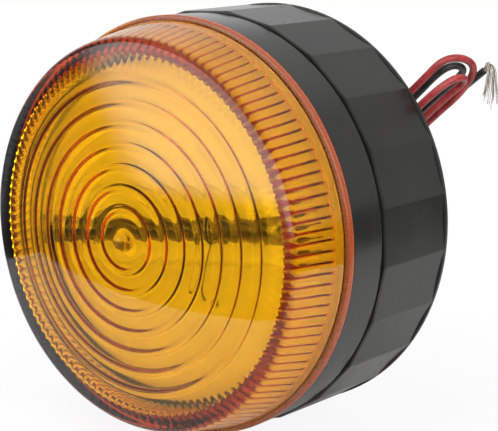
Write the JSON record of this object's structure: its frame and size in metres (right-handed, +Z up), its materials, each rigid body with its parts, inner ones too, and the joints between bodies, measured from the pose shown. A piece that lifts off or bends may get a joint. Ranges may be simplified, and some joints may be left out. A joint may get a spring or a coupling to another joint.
{
  "type": "barricade warning light",
  "caption": "Round amber strobe warning light: a fluted lens head that twists off a faceted black base, bolted down from behind, with two flying leads.",
  "frame": {"origin": "centre of the flat rear mounting face", "axes": "+Y out of the rear face, away from the lens, which looks along -Y; +Z up; +X to the right as seen from the front"},
  "size_m": [0.0763, 0.0606, 0.0748],
  "materials": {
    "black_housing": "moulded, satin gloss",
    "amber_lens": "clear moulded amber",
    "reflector": "bright moulded",
    "glass_tube": "clear",
    "nickel": "plated",
    "black_rubber": "matt",
    "brass": "turned",
    "zinc_screw": "zinc plated",
    "board": "solder resist",
    "can_sleeve": "shrink sleeve",
    "component_black": "moulded epoxy",
    "ferrite": "fired ferrite",
    "bobbin": "moulded nylon",
    "copper_winding": "enamelled copper",
    "film_capacitor": "dipped",
    "resistor_body": "lacquered",
    "red_lead": "PVC insulation",
    "black_lead": "PVC insulation",
    "tinned_strand": "tinned copper"
  },
  "bodies": {
    "base": {"rear_plate": "black_housing", "cover_screws": "zinc_screw", "threaded_inserts": "brass", "cable_grommet": "black_rubber", "inner_lead_red": "red_lead", "inner_lead_black": "black_lead", "base_housing": "black_housing", "neck_seal": "black_rubber", "reflector_plate": "reflector", "flash_tube": "glass_tube", "tube_end_caps": "nickel", "tube_electrodes": "nickel", "tube_lead_wires": "nickel", "trigger_wire": "nickel", "circuit_board": "board", "board_screws": "zinc_screw", "main_capacitor": "can_sleeve", "input_capacitor": "can_sleeve", "transformer_core": "ferrite", "transformer_bobbin": "bobbin", "transformer_winding": "copper_winding", "power_transistor": "component_black", "thyristor": "component_black", "trigger_coil": "component_black", "trigger_capacitor": "film_capacitor", "resistors": "resistor_body", "diodes": "component_black", "lead_red": "red_lead", "lead_black": "black_lead", "red_lead_strands": "tinned_strand", "black_lead_strands": "tinned_strand"},
    "head": {"front_ring": "black_housing", "lens": "amber_lens"}
  },
  "joints": [
    {"name": "head_twist", "type": "hinge", "parent": "base", "child": "head", "pos_m": [0, 0, 0], "axis": [0, -1, 0], "range_deg": [0, 20]}
  ]
}
